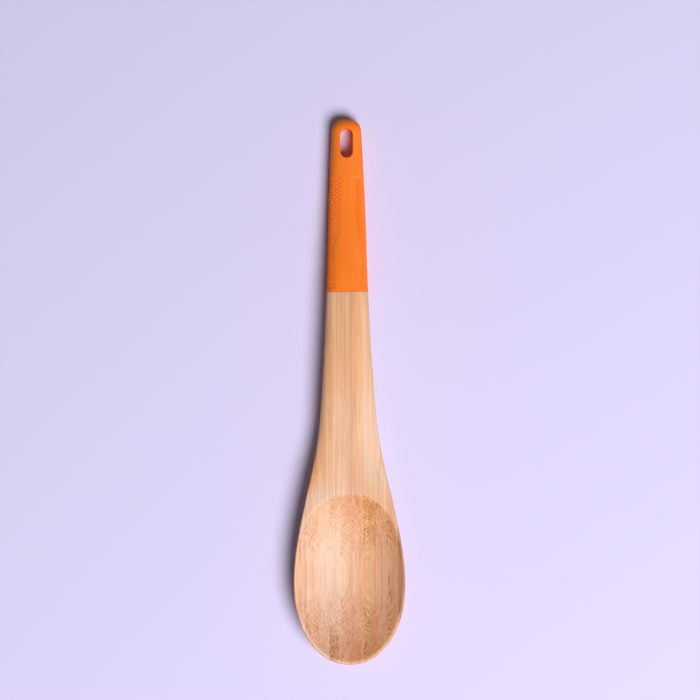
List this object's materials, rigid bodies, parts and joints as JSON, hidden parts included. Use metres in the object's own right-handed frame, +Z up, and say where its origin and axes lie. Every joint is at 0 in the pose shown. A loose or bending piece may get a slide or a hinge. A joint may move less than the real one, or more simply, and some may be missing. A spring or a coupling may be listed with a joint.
{
  "type": "wooden spoon",
  "caption": "Long cooking spoon: oval bowl and neck carved from bamboo laths glued side by side, with a moulded diamond-textured grip and a hang slot.",
  "frame": {"origin": "on the surface the spoon lies on, below the centre of its box", "axes": "+X across the spoon, +Y from the bowl to the grip, +Z up out of the bowl"},
  "size_m": [0.0622, 0.305, 0.0176],
  "materials": {
    "bamboo": "sanded smooth, very lightly oiled",
    "grip": "soft matte with a moulded diamond texture"
  },
  "bodies": {
    "root": {"bamboo_lath_left_1": "bamboo", "bamboo_lath_left_2": "bamboo", "bamboo_lath_left_3": "bamboo", "bamboo_lath_left_4": "bamboo", "bamboo_lath_left_5": "bamboo", "bamboo_lath_right_1": "bamboo", "bamboo_lath_right_2": "bamboo", "bamboo_lath_right_3": "bamboo", "bamboo_lath_right_4": "bamboo", "bamboo_lath_right_5": "bamboo", "grip": "grip"}
  },
  "joints": []
}
